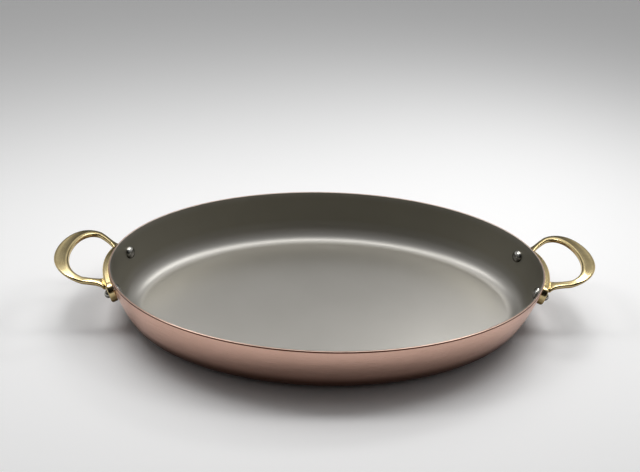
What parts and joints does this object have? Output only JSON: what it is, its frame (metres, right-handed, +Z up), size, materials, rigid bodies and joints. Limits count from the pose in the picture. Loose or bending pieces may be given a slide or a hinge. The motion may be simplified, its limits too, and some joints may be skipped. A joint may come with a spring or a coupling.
{
  "type": "oval gratin pan",
  "caption": "Low oval baking dish of copper with a bonded steel lining, flared curved walls, and a riveted cast brass loop handle at each end.",
  "frame": {"origin": "middle of the flat underside, in the plane that the pan stands on", "axes": "+X along the oval, from the left handle to the right one; +Y across it, to the rear; +Z up, out of the open side"},
  "size_m": [0.4328, 0.23, 0.0535],
  "materials": {
    "copper": "satin, finely brushed along the rim",
    "lining_steel": "satin",
    "cast_brass": "polished casting",
    "rivet_steel": "polished"
  },
  "bodies": {
    "root": {"copper_shell": "copper", "steel_lining": "lining_steel", "handle_left": "cast_brass", "handle_right": "cast_brass", "rivet_left_front": "rivet_steel", "rivet_left_rear": "rivet_steel", "rivet_right_front": "rivet_steel", "rivet_right_rear": "rivet_steel"}
  },
  "joints": []
}
